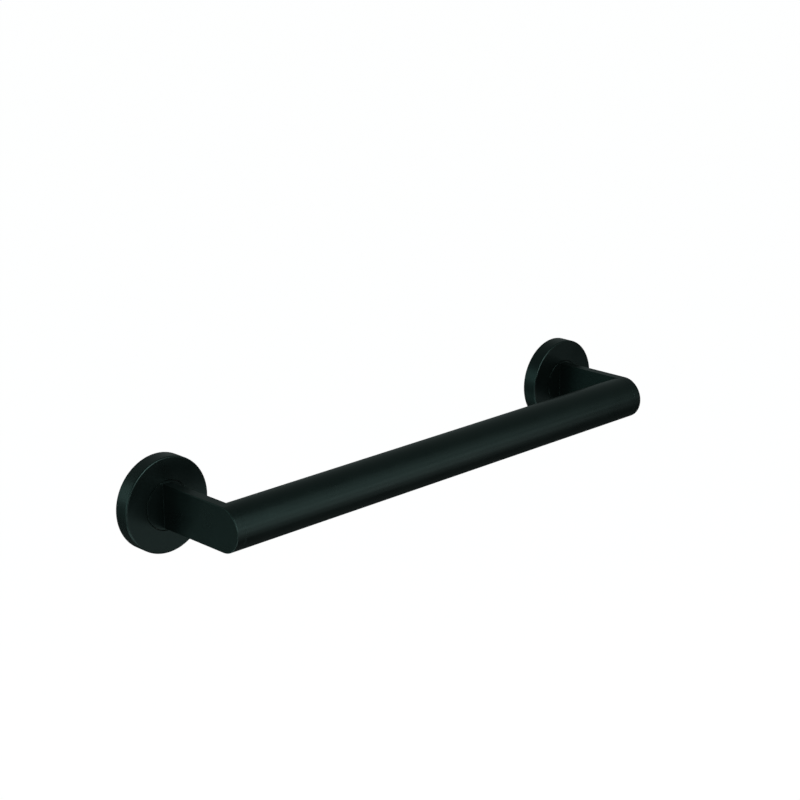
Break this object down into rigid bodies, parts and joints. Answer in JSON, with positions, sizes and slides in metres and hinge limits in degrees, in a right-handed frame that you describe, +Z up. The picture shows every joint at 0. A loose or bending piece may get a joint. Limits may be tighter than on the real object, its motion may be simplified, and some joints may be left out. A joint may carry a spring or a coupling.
{
  "type": "grab bar",
  "caption": "Straight wall grab bar: a round handle tube between flat arms with rounded noses, each on a round rosette over a concealed wall plate.",
  "frame": {"origin": "on the wall's face, midway between the two fixing centres, which is also the centre of the rectangle of the four outer wall screws", "axes": "+X along the handle tube, to the right as seen from the room; +Y into the wall; +Z up"},
  "size_m": [0.468, 0.0895, 0.068],
  "materials": {
    "black_coat": "matt black powder coat with a fine even texture",
    "plate_steel": "turned steel, blackened so that it does not shine through the gap round the arm's foot",
    "screw_steel": "plain stainless steel",
    "ring_rubber": "moulded black rubber",
    "gasket_foam": "closed-cell foam rubber"
  },
  "bodies": {
    "root": {"bar_tube": "black_coat", "left_arm": "black_coat", "right_arm": "black_coat", "left_rosette": "black_coat", "right_rosette": "black_coat", "left_wall_plate": "plate_steel", "right_wall_plate": "plate_steel", "left_rosette_ring": "ring_rubber", "right_rosette_ring": "ring_rubber", "left_wall_gasket": "gasket_foam", "right_wall_gasket": "gasket_foam", "left_grub_screw_1": "screw_steel", "left_grub_screw_2": "screw_steel", "right_grub_screw_1": "screw_steel", "right_grub_screw_2": "screw_steel"}
  },
  "joints": []
}
